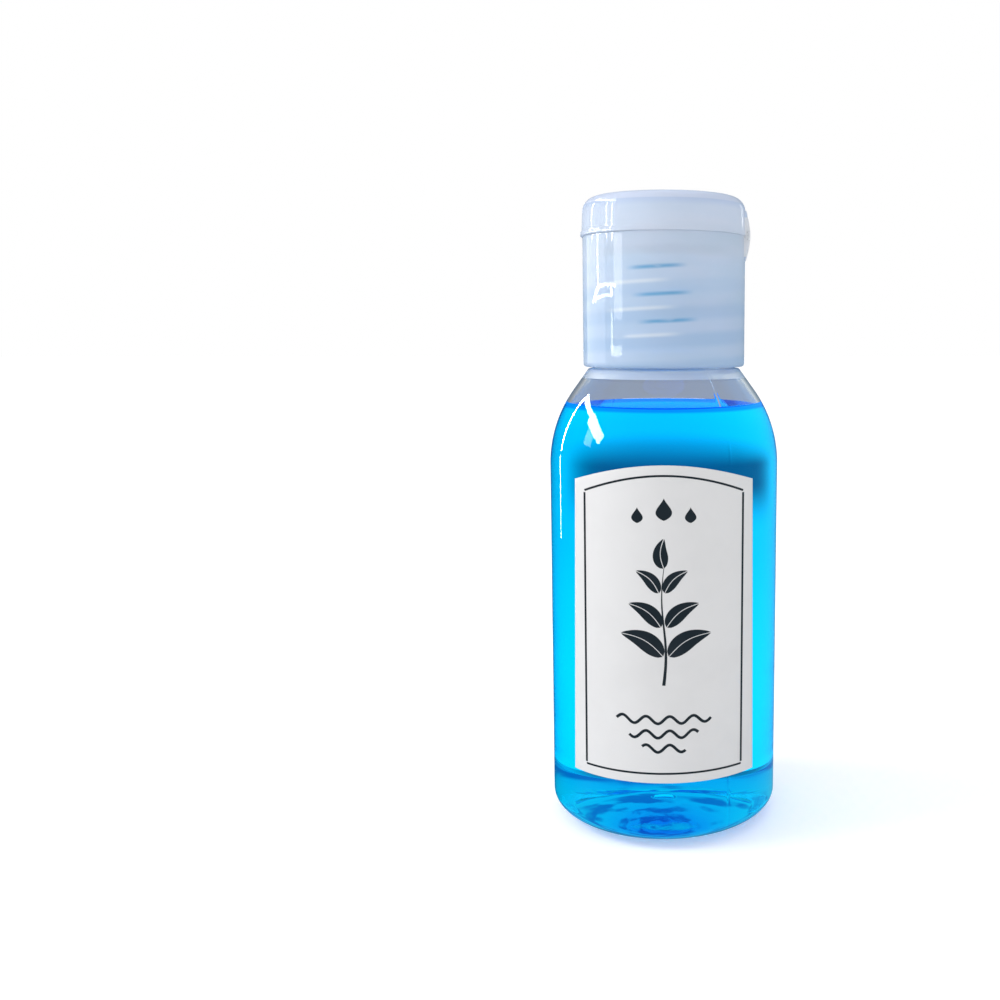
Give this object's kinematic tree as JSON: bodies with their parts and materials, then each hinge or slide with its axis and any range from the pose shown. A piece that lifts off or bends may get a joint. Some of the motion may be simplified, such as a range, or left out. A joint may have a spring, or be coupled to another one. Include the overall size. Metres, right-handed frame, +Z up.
{
  "type": "mouthwash bottle",
  "caption": "Clear travel-size bottle of blue mouthwash with a paper-white front label and a translucent screw-on flip-top dispensing closure.",
  "frame": {"origin": "centre of the foot ring that the bottle stands on", "axes": "+Z up along the bottle's axis, -Y towards the label's front, +X towards the lid's hinge"},
  "size_m": [0.0288, 0.0289, 0.0783],
  "materials": {
    "bottle_pet": "gloss",
    "mouthwash_fill": "gloss",
    "label_film": "satin",
    "closure_pp": "satin"
  },
  "bodies": {
    "bottle": {"bottle": "bottle_pet", "mouthwash": "mouthwash_fill", "label": "label_film"},
    "seal_carrier": {"bore_seal": "closure_pp"},
    "closure": {"closure_base": "closure_pp", "living_hinge": "closure_pp"},
    "lid": {"lid": "closure_pp", "sealing_pin": "closure_pp"}
  },
  "joints": [
    {"name": "closure_lift", "type": "slide", "parent": "bottle", "child": "seal_carrier", "axis": [0, 0, 1], "range_m": [0, 0.0048]},
    {"name": "closure_turn", "type": "hinge", "parent": "seal_carrier", "child": "closure", "pos_m": [0, 0, 0.0708], "axis": [0, 0, 1], "range_deg": [0, 540]},
    {"name": "lid_flip", "type": "hinge", "parent": "closure", "child": "lid", "pos_m": [0.01058, 0, 0.07335], "axis": [0, 1, 0], "range_deg": [0, 165], "deforming": ["living_hinge"]}
  ],
  "couplings": [
    {"joint": "closure_lift", "follows": "closure_turn", "m_per_rad": 0.00050532}
  ]
}
